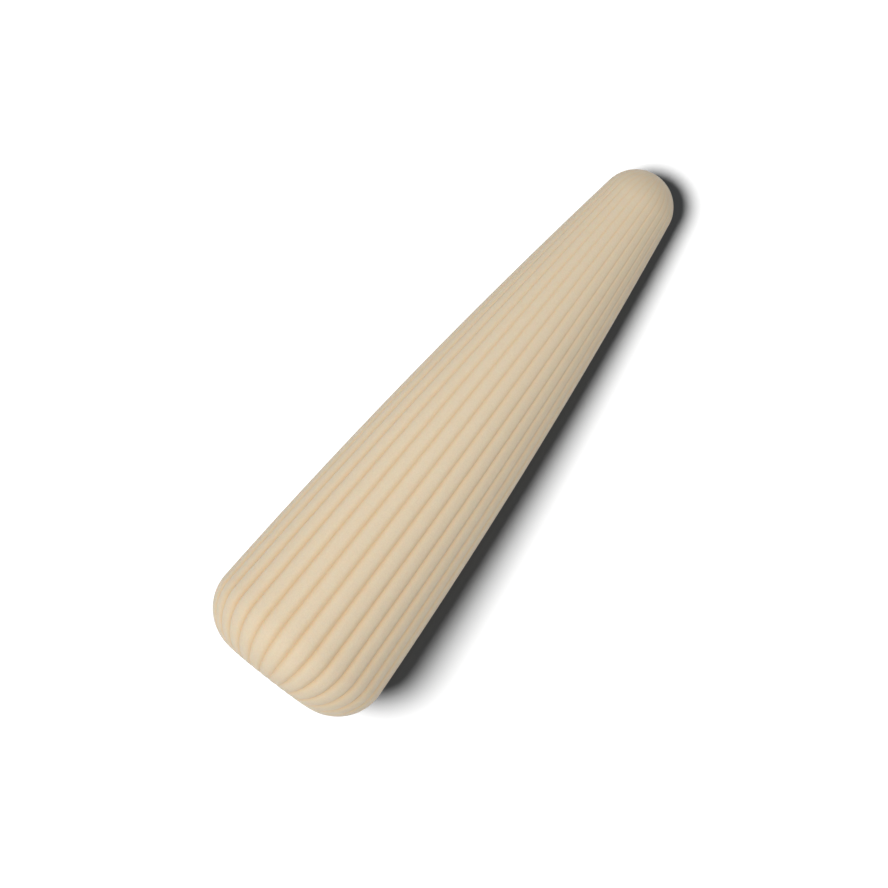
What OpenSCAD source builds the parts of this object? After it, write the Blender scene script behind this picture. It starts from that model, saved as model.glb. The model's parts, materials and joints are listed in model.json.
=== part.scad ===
// Bone folder: a thick round creasing tool with soft lengthwise ribs, lying on its flank.
// A soft skin covers a hollow rigid core, and a press-fit plug closes the core at the butt.

/* [Body] */
// Overall length along the axis, from the butt face to the nose
body_length = 150; // [130:1:170]
// Largest diameter, measured over the rib crests
body_d = 46.4; // [42:0.2:56]
// Radius of the round between the butt face and the flank
corner_r = 12; // [9:0.1:12.6]
// Radius of the rounded nose
nose_r = 9; // [8:0.1:11]
// Radius of the long gentle curve of the flank
flank_r = 1450; // [1000:50:4000]

/* [Ribs] */
// Number of ribs; even, so that a groove faces both up and down
rib_count = 30; // [24:2:36]
// Depth of the grooves at the largest diameter
rib_depth = 0.9; // [0.4:0.1:1]
// How far the two lowest ribs are pressed flat where the tool lies on them
rest_press = 0.3; // [0.25:0.01:0.4]

/* [Skin and core] */
// Thickness of the soft skin over the core
skin_t = 2.4; // [2:0.1:3]
// Wall thickness of the rigid core
core_t = 1.8; // [1.4:0.1:2.4]
// Gap left between the skin and the core
bond_gap = 0.05; // [0.02:0.01:0.1]

/* [Plug] */
// Width of the flat ring of skin left around the plug's head
rim_w = 2.4; // [2:0.1:2.8]
// How far the plug's head stands out past its spigot
ledge_w = 1.8; // [1.4:0.1:2]
// How far the spigot reaches into the core
spigot_l = 7; // [5:0.5:10]
// Wall thickness of the hollow spigot
spigot_t = 1.6; // [1.2:0.1:2]
// Radial gap between the plug and the parts around it
plug_gap = 0.04; // [0.02:0.01:0.1]

/* [Hidden] */

$fn = 120;

rib_pitch = 360 / rib_count;
rib_steps = 6;
ring_steps = rib_count * rib_steps;
corner_steps = 9;
flank_steps = 9;
nose_steps = 8;
groove_run_in = 24;
edge_chamfer = 0.3;
body_r = body_d / 2;

// The butt round, the flank and the nose are three arcs that meet without a corner,
// so the flank's centre is where circles of these radii about the other two centres cross.
face_r = body_r - corner_r;
corner_c = [corner_r, face_r];
nose_c = [body_length - nose_r, 0];
centre_gap = norm(nose_c - corner_c);
along = (nose_c - corner_c) / centre_gap;
across = [along[1], -along[0]];
to_corner = flank_r - corner_r;
to_nose = flank_r - nose_r;
foot = (centre_gap ^ 2 + to_corner ^ 2 - to_nose ^ 2) / (2 * centre_gap);
flank_c = corner_c + along * foot + across * sqrt(to_corner ^ 2 - foot ^ 2);

// Angles are measured from the outward radial direction, turning towards the nose.
function lean(from, to) = atan2(to[0] - from[0], to[1] - from[1]);
flank_from = lean(flank_c, corner_c);
flank_to = lean(flank_c, nose_c);
function facing(angle) = [sin(angle), cos(angle)];

// A station is a point [axial, radial] of the profile, the way it faces, and how deep its grooves are.
// Every rib is rounded alike, so a groove's depth goes with the square of the ribs' width.
function station(centre, r, angle, fade) =
    let(p = centre + r * facing(angle))
    [p, facing(angle), fade * rib_depth * (p[1] / body_r) ^ 2];

function smooth(t) = let(c = max(0, min(1, t))) c * c * (3 - 2 * c);

// The profile inset by the distance given, from the edge of the butt face to the nose.
function arc_points(centre, r, from, to, steps) =
    [for (i = [0 : steps]) centre + r * facing(from + (to - from) * i / steps)];
function inset_profile(d) = concat(
    arc_points(corner_c, corner_r - d, -90, flank_from, corner_steps),
    arc_points(flank_c, flank_r - d, flank_from, flank_to, flank_steps),
    arc_points(nose_c, nose_r - d, flank_to, 90, nose_steps)
);

corner_stations = [
    for (i = [0 : corner_steps - 1])
    let(angle = -90 + (flank_from + 90) * i / corner_steps)
    station(corner_c, corner_r, angle, smooth((angle + 90) / groove_run_in))
];
flank_stations = [
    for (i = [0 : flank_steps - 1])
    station(flank_c, flank_r, flank_from + (flank_to - flank_from) * i / flank_steps, 1)
];
nose_stations = [
    for (i = [0 : nose_steps - 1])
    station(nose_c, nose_r, flank_to + (90 - flank_to) * i / nose_steps, 1)
];
stations = concat(corner_stations, flank_stations, nose_stations);
last = len(stations) - 1;

// How it lies: the stretch of flank under the balance point is level, and pressed a little into the floor.
function shell_weight(i) =
    let(p = stations[i][0], q = stations[i + 1][0])
    norm(q - p) * (p[1] + q[1]) / 2;
spans = [for (i = [0 : last - 1]) i];
face_weight = stations[0][0][1] ^ 2 / 2;
total_weight = face_weight + [for (i = spans) shell_weight(i)] * [for (i = spans) 1];
balance_x = [for (i = spans) shell_weight(i)]
    * [for (i = spans) (stations[i][0][0] + stations[i + 1][0][0]) / 2] / total_weight;
rest_at = max([for (i = spans) if (stations[i][0][0] < balance_x) i]);
rest_p = stations[rest_at][0];
rest_q = stations[rest_at + 1][0];
crest_drop = cos(rib_pitch / 2);
tilt = atan((rest_p[1] - rest_q[1]) * crest_drop / (rest_q[0] - rest_p[0]));
lift = rest_p[0] * sin(tilt) + rest_p[1] * crest_drop * cos(tilt) - rest_press;
butt_end = corner_r * cos(tilt) - face_r * sin(tilt) - corner_r;
nose_end = nose_c[0] * cos(tilt) + nose_r;
middle_x = (butt_end + nose_end) / 2;

module as_it_lies() {
    translate([-middle_x, 0, lift])
        rotate([0, tilt, 0])
            children();
}

// Everything under the floor, as it stands in the tool's own frame.
module under_floor() {
    rotate([0, -tilt, 0])
        translate([-body_length, -body_d, -lift - body_r])
            cube([3 * body_length, 2 * body_d, body_r]);
}

// Turns a profile of [axial, radial] points about the tool's long axis.
module turned(profile) {
    rotate([0, 90, 0])
        rotate_extrude()
            polygon([for (p = profile) [p[1], p[0]]]);
}

function ring_point(s, j) =
    let(
        across_rib = (j % rib_steps) / rib_steps,
        sink = s[2] * (2 * across_rib - 1) ^ 2,
        p = s[0] - sink * s[1],
        turn = j * rib_pitch / rib_steps
    )
    [p[0], p[1] * sin(turn), p[1] * cos(turn)];

module ribbed_body() {
    rings = [for (s = stations, j = [0 : ring_steps - 1]) ring_point(s, j)];
    tip = len(rings);
    sides = [
        for (i = [0 : last - 1], j = [0 : ring_steps - 1])
        let(k = (j + 1) % ring_steps, a = i * ring_steps, b = a + ring_steps)
        each [[a + j, a + k, b + j], [a + k, b + k, b + j]]
    ];
    cap = [
        for (j = [0 : ring_steps - 1])
        [last * ring_steps + j, last * ring_steps + (j + 1) % ring_steps, tip]
    ];
    face = [[for (j = [ring_steps - 1 : -1 : 0]) j]];
    polyhedron(
        points = concat(rings, [[body_length, 0, 0]]),
        faces = concat(face, sides, cap)
    );
}

head_r = face_r - rim_w;
spigot_r = head_r - ledge_w;
bore_r = spigot_r + plug_gap;
collar_r = bore_r + core_t;
core_butt_x = skin_t + bond_gap;
core_in = core_butt_x + core_t;
collar_end = core_butt_x + spigot_l;

module fluted_skin() {
    cavity = concat([[skin_t, 0]], inset_profile(skin_t));
    color([0.86, 0.80, 0.69])
        difference() {
            ribbed_body();
            turned(cavity);
            translate([-1, 0, 0])
                rotate([0, 90, 0])
                    cylinder(h = skin_t + 2, r = head_r + plug_gap);
            under_floor();
        }
}

module core_shell() {
    outside = inset_profile(skin_t + bond_gap);
    inside = inset_profile(skin_t + bond_gap + core_t);
    reversed = [for (i = [len(inside) - 1 : -1 : 0]) inside[i]];
    collar = [[core_in, collar_r], [collar_end, collar_r], [collar_end, bore_r], [core_butt_x, bore_r]];
    color([0.90, 0.89, 0.86])
        turned(concat(outside, reversed, collar));
}

module base_plug() {
    outline = [
        [0, 0],
        [0, head_r - edge_chamfer],
        [edge_chamfer, head_r],
        [skin_t, head_r],
        [skin_t, spigot_r],
        [collar_end - edge_chamfer, spigot_r],
        [collar_end, spigot_r - edge_chamfer],
        [collar_end, spigot_r - spigot_t],
        [skin_t, spigot_r - spigot_t],
        [skin_t, 0]
    ];
    color([0.84, 0.78, 0.67])
        turned(outline);
}

as_it_lies() fluted_skin();
as_it_lies() core_shell();
as_it_lies() base_plug();
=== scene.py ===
import json
import math

import bmesh
import bpy
from mathutils import Matrix, Vector


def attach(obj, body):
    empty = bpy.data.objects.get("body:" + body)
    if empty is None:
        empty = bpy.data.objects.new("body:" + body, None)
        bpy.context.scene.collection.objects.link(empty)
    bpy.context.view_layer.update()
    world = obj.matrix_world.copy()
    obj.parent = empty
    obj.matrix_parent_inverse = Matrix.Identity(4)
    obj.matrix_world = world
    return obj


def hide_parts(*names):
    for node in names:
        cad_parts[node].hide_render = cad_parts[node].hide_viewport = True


# Bone folder: a soft ribbed skin over a hollow core, closed by a plug at the butt
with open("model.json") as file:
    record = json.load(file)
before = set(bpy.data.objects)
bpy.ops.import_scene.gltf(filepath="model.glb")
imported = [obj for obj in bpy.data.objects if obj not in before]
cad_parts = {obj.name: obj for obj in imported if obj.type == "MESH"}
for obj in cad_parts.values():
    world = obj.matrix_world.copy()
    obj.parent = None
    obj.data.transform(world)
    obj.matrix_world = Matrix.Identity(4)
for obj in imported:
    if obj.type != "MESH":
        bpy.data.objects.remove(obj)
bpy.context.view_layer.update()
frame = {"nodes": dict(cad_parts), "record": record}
record = frame["record"]
print("frame loaded:", sorted(frame["nodes"]))

# The tool's own axis starts at the middle of the butt face and runs against the way that face looks
buttMount = next(m for m in record["mounts"] if m["name"] == "butt_face")
buttCentre = Vector(buttMount["pos_m"])
longAxis = -Vector(buttMount["axis"]).normalized()
acrossAxis = Vector((0, 1, 0))
upAxis = longAxis.cross(acrossAxis)

body = {
    "length": 0.150,
    "diameter": 0.0464,
    "buttRound": 0.012,      # radius between the butt face and the flank
    "noseRadius": 0.009,
    "flankRadius": 1.450,    # the long gentle curve
    "skinThickness": 0.0024,
    "rimWidth": 0.0024,      # flat ring of skin round the plug
    "inset": 0.00005,        # keeps the rounds inside the part's flat-sided ones
    "pressRound": 0.00006,   # how soft the edge is where the lowest ribs are pressed flat
}

bodyRadius = body["diameter"] / 2
faceRadius = bodyRadius - body["buttRound"]
headRadius = faceRadius - body["rimWidth"]


def smoothStep(value):
    held = max(0.0, min(1.0, value))
    return held * held * (3 - 2 * held)


def facing(angle):
    return Vector((math.sin(angle), math.cos(angle)))


def lean(start, end):
    return math.atan2(end.x - start.x, end.y - start.y)


# Butt round, flank and nose are three arcs that meet without a corner
buttArc = Vector((body["buttRound"], faceRadius))
noseArc = Vector((body["length"] - body["noseRadius"], 0))
arcGap = (noseArc - buttArc).length
alongGap = (noseArc - buttArc) / arcGap
toButt = body["flankRadius"] - body["buttRound"]
toNose = body["flankRadius"] - body["noseRadius"]
foot = (arcGap ** 2 + toButt ** 2 - toNose ** 2) / (2 * arcGap)
acrossGap = Vector((alongGap.y, -alongGap.x))
flankArc = buttArc + alongGap * foot + acrossGap * math.sqrt(toButt ** 2 - foot ** 2)
flankStart = lean(flankArc, buttArc)
flankEnd = lean(flankArc, noseArc)


def bodyProfile(inset, steps):
    # (place, way it faces) along the profile, from the edge of the butt face to just short of the nose
    arcs = [
        (buttArc, body["buttRound"], -math.pi / 2, flankStart, steps["round"]),
        (flankArc, body["flankRadius"], flankStart, flankEnd, steps["flank"]),
        (noseArc, body["noseRadius"], flankEnd, math.pi / 2, steps["nose"]),
    ]
    stations = []
    for centre, radius, start, end, count in arcs:
        for i in range(count):
            way = facing(start + (end - start) * i / count)
            stations.append((centre + way * (radius - inset), way))
    return stations


def placed(axial, radial, turn):
    outward = acrossAxis * math.sin(turn) + upAxis * math.cos(turn)
    point = buttCentre + longAxis * axial + outward * radial
    # no point goes under the floor, and the edge of the pressed stretch is rounded
    point.z = (point.z + math.hypot(point.z, body["pressRound"])) / 2
    return point


def turnedMesh(name, rings, turns, shade=None):
    # rings are lists of (axial, radial), one for each turn; a ring of one point closes an end
    verts, faces, starts = [], [], []
    for ring in rings:
        starts.append(len(verts))
        for (axial, radial), turn in zip(ring, turns):
            verts.append(placed(axial, radial, turn))
    count = len(turns)
    for a, b, ringA, ringB in zip(starts, starts[1:], rings, rings[1:]):
        for j in range(count):
            k = (j + 1) % count
            if len(ringA) == 1:
                faces.append((a, b + k, b + j))
            elif len(ringB) == 1:
                faces.append((a + j, a + k, b))
            else:
                faces.append((a + j, a + k, b + k, b + j))
    mesh = bpy.data.meshes.new(name)
    mesh.from_pydata(verts, [], faces)
    if shade:
        # the painted groove shade is stored on the points
        layer = mesh.attributes.new("groove", "FLOAT", "POINT")
        layer.data.foreach_set("value", shade)
    shell = bmesh.new()
    shell.from_mesh(mesh)
    bmesh.ops.recalc_face_normals(shell, faces=shell.faces)
    shell.to_mesh(mesh)
    shell.free()
    mesh.polygons.foreach_set("use_smooth", [True] * len(mesh.polygons))
    piece = bpy.data.objects.new(name, mesh)
    bpy.context.scene.collection.objects.link(piece)
    return piece


class Wire:
    # one shader output, so that values add and multiply as plain Python
    def __init__(self, nodes, socket):
        self.nodes = nodes
        self.socket = socket

    def maths(self, operation, first, second):
        return self.nodes.add("ShaderNodeMath", {"operation": operation}, {0: first, 1: second}, 0)

    def __add__(self, other):
        return self.maths("ADD", self, other)

    def __radd__(self, other):
        return self.maths("ADD", other, self)

    def __sub__(self, other):
        return self.maths("SUBTRACT", self, other)

    def __rsub__(self, other):
        return self.maths("SUBTRACT", other, self)

    def __mul__(self, other):
        return self.maths("MULTIPLY", self, other)

    def __rmul__(self, other):
        return self.maths("MULTIPLY", other, self)


class Nodes:
    # adds nodes to one tree
    def __init__(self, tree):
        self.tree = tree

    def add(self, kind, settings, inputs, output):
        node = self.tree.nodes.new(kind)
        for name, value in settings.items():
            if name == "stops":
                self.setStops(node.color_ramp, value)
            else:
                setattr(node, name, value)
        for name, value in inputs.items():
            self.join(value, node.inputs[name])
        return Wire(self, node.outputs[output])

    def setStops(self, ramp, stops):
        while len(ramp.elements) < len(stops):
            ramp.elements.new(1.0)
        for element, (place, grey) in zip(ramp.elements, stops):
            element.position = place
            element.color = (grey, grey, grey, 1)

    def join(self, value, socket):
        if isinstance(value, Wire):
            self.tree.links.new(value.socket, socket)
        else:
            socket.default_value = value


class Finish(Nodes):
    # one material, built round its Principled shader
    def __init__(self, name, looks):
        self.material = bpy.data.materials.new(name)
        self.material.use_nodes = True
        super().__init__(self.material.node_tree)
        self.shader = self.tree.nodes["Principled BSDF"]
        for socketName, value in looks.items():
            self.shader.inputs[socketName].default_value = value

    def place(self, stretch=(1, 1, 1)):
        coords = self.add("ShaderNodeTexCoord", {}, {}, "Object")
        return self.add("ShaderNodeVectorMath", {"operation": "MULTIPLY"}, {0: coords, 1: stretch}, 0)

    def alongTool(self):
        # 0 at the butt and 1 at the nose
        towards = longAxis / body["length"]
        settings = {"operation": "DOT_PRODUCT"}
        along = self.add("ShaderNodeVectorMath", settings, {0: self.place(), 1: towards}, "Value")
        return along - buttCentre.dot(towards)

    def grain(self, size, detail, stretch=(1, 1, 1)):
        # noise with features about size metres across
        inputs = {"Vector": self.place(stretch), "Scale": 1 / size, "Detail": detail}
        return self.add("ShaderNodeTexNoise", {}, inputs, 0)

    def ramp(self, value, stops):
        return self.add("ShaderNodeValToRGB", {"stops": stops}, {0: value}, 0)

    def blend(self, factor, first, second):
        inputs = {0: factor, 6: first, 7: second}      # 6 and 7 are the colour sockets
        return self.add("ShaderNodeMix", {"data_type": "RGBA"}, inputs, 2)

    def bump(self, height, depth, strength, under=None):
        inputs = {"Height": height, "Distance": depth, "Strength": strength}
        if under:
            inputs["Normal"] = under
        return self.add("ShaderNodeBump", {}, inputs, 0)

    def feed(self, **wires):
        names = {"colour": "Base Color", "roughness": "Roughness", "normal": "Normal"}
        for name, wire in wires.items():
            self.join(wire, self.shader.inputs[names[name]])
        return self.material


skinPlan = {
    "ribCount": 30,
    "grooveDepth": 0.0008,       # at the largest diameter
    "fullness": 3.0,             # 2 is a round bead, more is flatter on top
    "soften": 0.085,             # how round the bottom of a groove is
    "softenFrom": 0.006,         # grooves nearer the axis than this get no rounder
    "stepsAcross": 20,           # points across one rib
    "faintest": 0.62,            # strength of the painted groove shade in the shallowest groove, against 1 for the deepest
    "holeGap": 0.00006,          # room round the plug's head
    "lip": 0.0001,               # round at the edge of the hole
    "lipSteps": 4,
    "rimSteps": 10,
    "insideSteps": {"round": 10, "flank": 12, "nose": 10},
    "outsideSteps": {"round": 36, "flank": 60, "nose": 30},
    "cream": (0.71, 0.595, 0.428, 1),
    "creamPale": (0.74, 0.624, 0.456, 1),
    "creamWarm": (0.70, 0.57, 0.40, 1),
    "creamDark": (0.60, 0.50, 0.36, 1),
    "creamTowardsNose": (0.61, 0.515, 0.375, 1),      # darker cream towards the nose
    # painted shade: the grooves are tinted darker and warmer where the ribs block and bounce the light
    "grooveShadeTan": (0.70, 0.475, 0.245, 1),
    "paleShare": 0.4,
    "warmShare": 0.25,
    "darkShare": 0.36,
    # how strongly the painted groove shade is laid on
    "grooveShadeShare": 0.74,
    "towardsNose": [(0.45, 0.0), (0.99, 0.75)],       # how much of the darker cream, from the butt to the nose
    "roughness": 0.56,
    "broadSize": 0.016,          # clouds of paler cream
    "mottleSize": 0.0024,
    "grainSize": 0.0004,
    "grainDepth": 0.00003,
    "waveSize": 0.006,           # slow unevenness of the moulding
    "waveDepth": 0.00005,
}


def ribSink(across, radius):
    # how far a point sinks, as a share of the groove's depth: two beads with a small fillet between
    fromCrest = abs(2 * across - 1)
    near = fromCrest ** skinPlan["fullness"]
    far = (2 - fromCrest) ** skinPlan["fullness"]
    fillet = skinPlan["soften"] * bodyRadius / max(radius, skinPlan["softenFrom"])
    return -fillet * math.log(math.exp(-near / fillet) + math.exp(-far / fillet))


def buildSkin():
    ribCount, steps = skinPlan["ribCount"], skinPlan["stepsAcross"]
    fullDepth, faintest = skinPlan["grooveDepth"], skinPlan["faintest"]
    pitch = 2 * math.pi / ribCount
    # points crowd towards the grooves, where the surface turns quickest
    acrossRib = [0.5 - 0.5 * math.cos(math.pi * i / steps) for i in range(steps)]
    turns = [(rib + share) * pitch for rib in range(ribCount) for share in acrossRib]
    rings, shade = [], []

    def addRing(place, way, fade=1.0):
        # a groove's depth goes with the square of the radius
        ring = []
        depth = fullDepth * fade * (place.y / bodyRadius) ** 2
        # painted groove shade is stronger where the groove is deeper
        tone = faintest + (1 - faintest) * depth / fullDepth
        for share in acrossRib:
            point = place - way * depth * ribSink(share, place.y)
            ring.append((point.x, point.y))
            # painted shade, darkest at a groove's bottom
            shade.append((2 * share - 1) ** 2 * tone)
        shade.extend(shade[-steps:] * (ribCount - 1))
        rings.append(ring * ribCount)

    def addPlain(axial, radial):
        rings.append([(axial, radial)] * len(turns))
        shade.extend([0.0] * len(turns))

    # inside first, from the nose back to the hole, then out round the lip and along the outside
    inside = bodyProfile(body["skinThickness"], skinPlan["insideSteps"])
    rings.append([(body["length"] - body["skinThickness"], 0.0)])
    shade.append(0.0)
    for place, _ in reversed(inside):
        addPlain(place.x, place.y)
    holeRadius, lip = headRadius + skinPlan["holeGap"], skinPlan["lip"]
    addPlain(body["skinThickness"], holeRadius)
    for i in range(skinPlan["lipSteps"] + 1):
        angle = math.pi / 2 * i / skinPlan["lipSteps"]
        axial = body["inset"] + lip * (1 - math.sin(angle))
        addPlain(axial, holeRadius + lip * (1 - math.cos(angle)))
    rimStart = holeRadius + lip
    for i in range(1, skinPlan["rimSteps"]):      # the grooves run out over the flat ring
        share = i / skinPlan["rimSteps"]
        place = Vector((body["inset"], rimStart + (faceRadius - rimStart) * share))
        addRing(place, facing(-math.pi / 2), smoothStep(share))
    for place, way in bodyProfile(body["inset"], skinPlan["outsideSteps"]):
        addRing(place, way)
    rings.append([(body["length"] - body["inset"], 0.0)])
    shade.append(0.0)
    return turnedMesh("flutedSkin", rings, turns, shade)


def skinFinish():
    finish = Finish("creamSilicone", {
        "Subsurface Weight": 0.25,
        "Subsurface Radius": (0.0018, 0.0009, 0.0005),
        "Subsurface Scale": 1.0,
        "IOR": 1.41,
        "Specular IOR Level": 0.35,
        "Sheen Weight": 0.2,
        "Sheen Roughness": 0.45,
        "Sheen Tint": (0.86, 0.90, 1, 1),
    })
    # painted shade in the grooves, read back from the points
    depth = finish.add("ShaderNodeAttribute", {"attribute_name": "groove"}, {}, "Fac")
    groove = finish.ramp(depth, [(0.12, 0.0), (0.45, 0.35), (0.95, 1.0)])
    clouds = finish.grain(skinPlan["broadSize"], 3.0, (0.5, 1, 1))
    broad = finish.ramp(clouds, [(0.35, 0.0), (0.65, 1.0)])
    mottle = finish.ramp(finish.grain(skinPlan["mottleSize"], 3.0), [(0.38, 0.0), (0.62, 1.0)])
    speck = finish.ramp(finish.grain(skinPlan["grainSize"], 2.0), [(0.30, 0.0), (0.70, 1.0)])
    # the cream turns darker towards the nose
    noseShare = finish.ramp(finish.alongTool() + 0.03 * broad, skinPlan["towardsNose"])
    paler = broad * skinPlan["paleShare"]
    colour = finish.blend(paler, skinPlan["cream"], skinPlan["creamPale"])
    colour = finish.blend(mottle * skinPlan["warmShare"], colour, skinPlan["creamWarm"])
    colour = finish.blend(noseShare, colour, skinPlan["creamTowardsNose"])
    # lays the painted groove shade over the cream
    colour = finish.blend(groove * skinPlan["grooveShadeShare"], colour, skinPlan["grooveShadeTan"])
    colour = finish.blend(speck * skinPlan["darkShare"], colour, skinPlan["creamDark"])
    roughness = skinPlan["roughness"] + 0.10 * mottle + 0.08 * groove
    waves = finish.grain(skinPlan["waveSize"], 2.0, (0.35, 1, 1))
    soft = finish.bump(waves, skinPlan["waveDepth"], 0.4)
    fine = finish.grain(skinPlan["grainSize"], 3.0)
    normal = finish.bump(fine, skinPlan["grainDepth"], 0.8, soft)
    return finish.feed(colour=colour, roughness=roughness, normal=normal)


plugPlan = {
    "turnSteps": 96,
    "edgeRound": 0.0001,
    "edgeSteps": 5,
    "dishDepth": 0.00035,        # the middle of the head is a touch lower
    "dishRadius": 0.0062,
    "dishFlat": 0.86,            # the share of the dish's radius at which it starts to rise
    "dishSteps": 6,
    "ledge": 0.0018,             # head beyond spigot
    "spigotLength": 0.00705,
    "spigotWall": 0.0016,
    "sharpFrom": 50,             # degrees; edges sharper than this stay crisp
    "tan": (0.60, 0.48, 0.32, 1),
    "tanPale": (0.68, 0.56, 0.40, 1),
    "cloudSize": 0.006,
    "grainSize": 0.00025,
    "grainDepth": 0.00002,
    "roughness": 0.46,
}


def buildPlug():
    turns = [2 * math.pi * j / plugPlan["turnSteps"] for j in range(plugPlan["turnSteps"])]
    edge, dish, dishDepth = plugPlan["edgeRound"], plugPlan["dishRadius"], plugPlan["dishDepth"]
    head = body["skinThickness"]      # the head is as thick as the skin round it
    spigot = headRadius - plugPlan["ledge"]
    spigotInside = spigot - plugPlan["spigotWall"]
    deep = head + plugPlan["spigotLength"]
    outline = [(dishDepth, dish * 0.35), (dishDepth, dish * 0.8)]
    for i in range(plugPlan["dishSteps"] + 1):      # the dish rises to the flat ring in a soft step
        share = i / plugPlan["dishSteps"]
        radial = dish * (plugPlan["dishFlat"] + (1 - plugPlan["dishFlat"]) * share)
        outline.append((dishDepth * (1 - smoothStep(share)), radial))
    for i in range(plugPlan["edgeSteps"] + 1):
        angle = math.pi / 2 * i / plugPlan["edgeSteps"]
        outline.append((edge * (1 - math.cos(angle)), headRadius - edge + edge * math.sin(angle)))
    outline += [
        (head, headRadius),
        (head, spigot),
        (deep - edge, spigot),
        (deep, spigot - edge),
        (deep, spigotInside),
        (head, spigotInside),
    ]
    rings = [[(dishDepth, 0.0)]]
    rings += [[point] * len(turns) for point in outline]
    rings.append([(head, 0.0)])
    piece = turnedMesh("basePlug", rings, turns)
    sharp = piece.modifiers.new("edges", "EDGE_SPLIT")
    sharp.split_angle = math.radians(plugPlan["sharpFrom"])
    return piece


def plugFinish():
    finish = Finish("tanPlastic", {"IOR": 1.48, "Specular IOR Level": 0.45})
    cloud = finish.ramp(finish.grain(plugPlan["cloudSize"], 3.0), [(0.35, 0.0), (0.65, 1.0)])
    colour = finish.blend(cloud, plugPlan["tan"], plugPlan["tanPale"])
    roughness = plugPlan["roughness"] + 0.14 * cloud
    normal = finish.bump(finish.grain(plugPlan["grainSize"], 2.0), plugPlan["grainDepth"], 0.9)
    return finish.feed(colour=colour, roughness=roughness, normal=normal)


corePlan = {
    "white": (0.70, 0.69, 0.64, 1),
    "whitePale": (0.78, 0.77, 0.72, 1),
    "flowSize": 0.009,           # streaks of the moulding
    "grainSize": 0.0005,
    "grainDepth": 0.00003,
    "roughness": 0.38,
}


def coreFinish():
    finish = Finish("whitePlastic", {"IOR": 1.5, "Specular IOR Level": 0.5})
    streaks = finish.grain(corePlan["flowSize"], 3.0, (0.2, 1, 1))
    flow = finish.ramp(streaks, [(0.3, 0.0), (0.7, 1.0)])
    colour = finish.blend(flow, corePlan["white"], corePlan["whitePale"])
    roughness = corePlan["roughness"] + 0.12 * flow
    normal = finish.bump(finish.grain(corePlan["grainSize"], 2.0), corePlan["grainDepth"], 0.7)
    return finish.feed(colour=colour, roughness=roughness, normal=normal)


skin = buildSkin()
skin.data.materials.append(skinFinish())
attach(skin, "root")
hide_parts("fluted_skin")
print("skin:", len(skin.data.polygons), "faces")

plug = buildPlug()
plug.data.materials.append(plugFinish())
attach(plug, "root")
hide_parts("base_plug")
print("plug:", len(plug.data.polygons), "faces")

core = frame["nodes"]["core_shell"]
core.data.materials.clear()
core.data.materials.append(coreFinish())
print("core keeps its own shape")

studio = {
    "cameraHeight": 1.375,       # square above the tool's own axis
    "cameraAlong": 0.0689,
    "cameraAcross": 0.0013,
    "cameraTurn": -52.08,        # degrees
    "lens": 235.6,
    "sensorWidth": 36,
    "cameraReach": 50,
    "floorSize": 3.0,
    "floorColour": (0.168, 0.18, 0.195, 1),
    "floorPale": (0.171, 0.183, 0.198, 1),
    "floorCloud": 0.2,
    "floorRoughness": 0.9,
    "skyGlow": 0.27,             # what the sky gives off where it isn't seen
    "floorStrength": 20.0,       # the light whose shadow falls to the right of the tool
    "floorTint": (1.07, 1, 0.92),
    "floorSpread": 22,           # degrees; a wider light has a softer shadow
    "floorFrom": (-0.39, 0.58, 1.92),
    "tentStrength": 2.43,        # broad and soft over the tool, leaning to the butt and the left
    "tentSpread": 170,
    "tentFrom": (-0.20, 0.33, 1.0),
    "buttPower": 0.11,           # a small softbox over the butt, so the light fades towards the nose
    "buttLampSize": 0.2,
    "buttLampPlace": (-0.20, 0.05, 0.28),
}


def buildFloor():
    half = studio["floorSize"] / 2
    mesh = bpy.data.meshes.new("floor")
    corners = [(-half, -half, 0), (half, -half, 0), (half, half, 0), (-half, half, 0)]
    mesh.from_pydata(corners, [], [(0, 1, 2, 3)])
    floor = bpy.data.objects.new("floor", mesh)
    bpy.context.scene.collection.objects.link(floor)
    finish = Finish("paleFloor", {"Specular IOR Level": 0.1})
    cloud = finish.grain(studio["floorCloud"], 2.0)
    colour = finish.blend(cloud, studio["floorColour"], studio["floorPale"])
    mesh.materials.append(finish.feed(colour=colour, roughness=studio["floorRoughness"]))
    floor.visible_diffuse = False      # it gives no light back, so the shaded side's grooves stay dark
    return floor


def lampGroup(name, pieces):
    group = bpy.data.collections.new(name)
    for piece in pieces:
        group.objects.link(piece)
    return group


def addLamp(name, light, place, shinesOn):
    lamp = bpy.data.objects.new(name, light)
    lamp.location = place
    lamp.rotation_mode = "QUATERNION"
    lamp.rotation_quaternion = (-Vector(place)).to_track_quat("-Z", "Y")
    bpy.context.scene.collection.objects.link(lamp)
    lamp.light_linking.receiver_collection = shinesOn
    return lamp


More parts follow.
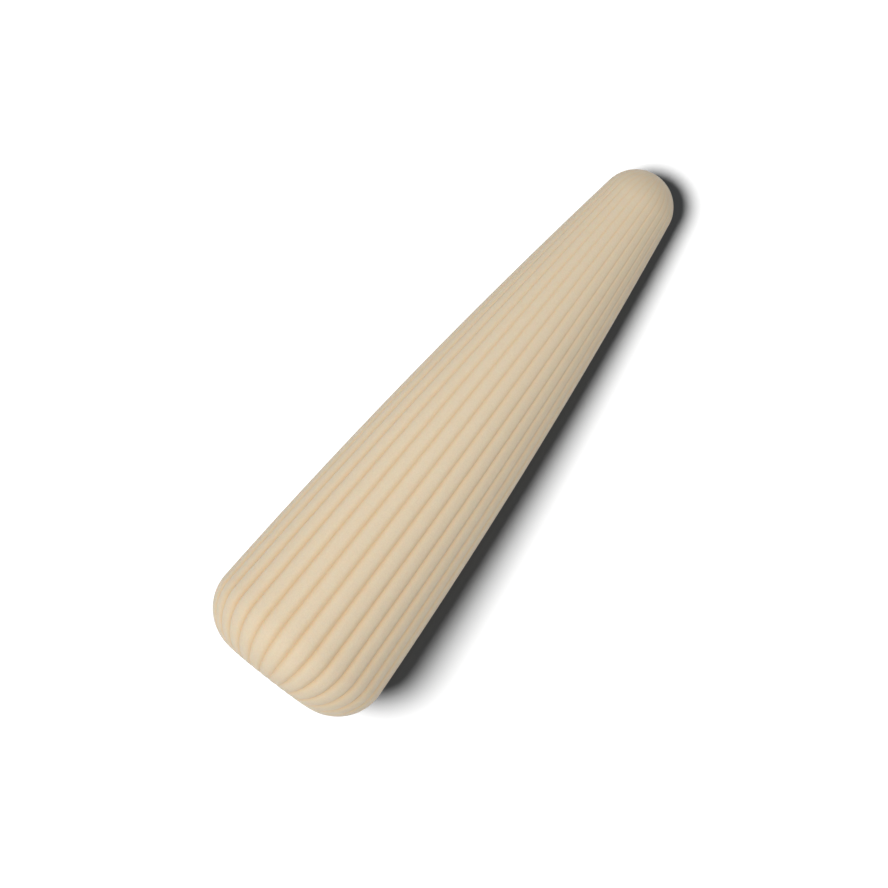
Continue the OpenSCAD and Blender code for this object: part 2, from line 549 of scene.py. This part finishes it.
def addSoftbox(name, size, power, place, shinesOn):
    light = bpy.data.lights.new(name, "AREA")
    light.shape = "SQUARE"
    light.size = size
    light.energy = power
    return addLamp(name, light, place, shinesOn)


def addFarLight(name, strength, spread, place, shinesOn, tint=(1, 1, 1)):
    light = bpy.data.lights.new(name, "SUN")
    light.energy = strength
    light.color = tint
    light.angle = math.radians(spread)
    return addLamp(name, light, place, shinesOn)


def setSky():
    world = bpy.data.worlds.new("studio")
    world.use_nodes = True
    background = world.node_tree.nodes["Background"]
    background.inputs["Color"].default_value = (1, 1, 1, 1)
    # pale where it is seen, but it gives little light
    sky = Nodes(world.node_tree)
    seen = sky.add("ShaderNodeLightPath", {}, {}, "Is Camera Ray")
    inputs = {0: seen, 1: studio["skyGlow"]}
    strength = sky.add("ShaderNodeMath", {"operation": "MAXIMUM"}, inputs, 0)
    sky.join(strength, background.inputs["Strength"])
    bpy.context.scene.world = world


def placeCamera():
    lens = bpy.data.cameras.new("camera")
    lens.lens = studio["lens"]
    lens.sensor_width = studio["sensorWidth"]
    lens.clip_end = studio["cameraReach"]
    camera = bpy.data.objects.new("camera", lens)
    turn = math.radians(studio["cameraTurn"])
    toRight = longAxis * math.cos(turn) + acrossAxis * math.sin(turn)
    toTop = acrossAxis * math.cos(turn) - longAxis * math.sin(turn)
    place = buttCentre + longAxis * studio["cameraAlong"] + acrossAxis * studio["cameraAcross"]
    place += upAxis * studio["cameraHeight"]
    looking = Matrix((toRight, toTop, upAxis)).transposed().to_4x4()
    camera.matrix_world = Matrix.Translation(place) @ looking
    bpy.context.scene.collection.objects.link(camera)
    bpy.context.scene.camera = camera


floorGroup = lampGroup("litFloor", [buildFloor()])
toolGroup = lampGroup("litTool", [skin, plug, core])
setSky()
addFarLight("floorLight", studio["floorStrength"], studio["floorSpread"], studio["floorFrom"],
            floorGroup, studio["floorTint"])
addFarLight("tent", studio["tentStrength"], studio["tentSpread"], studio["tentFrom"], toolGroup)
addSoftbox("buttLamp", studio["buttLampSize"], studio["buttPower"], studio["buttLampPlace"],
           toolGroup)
placeCamera()
bpy.context.scene.view_settings.view_transform = "Standard"
print("studio ready")
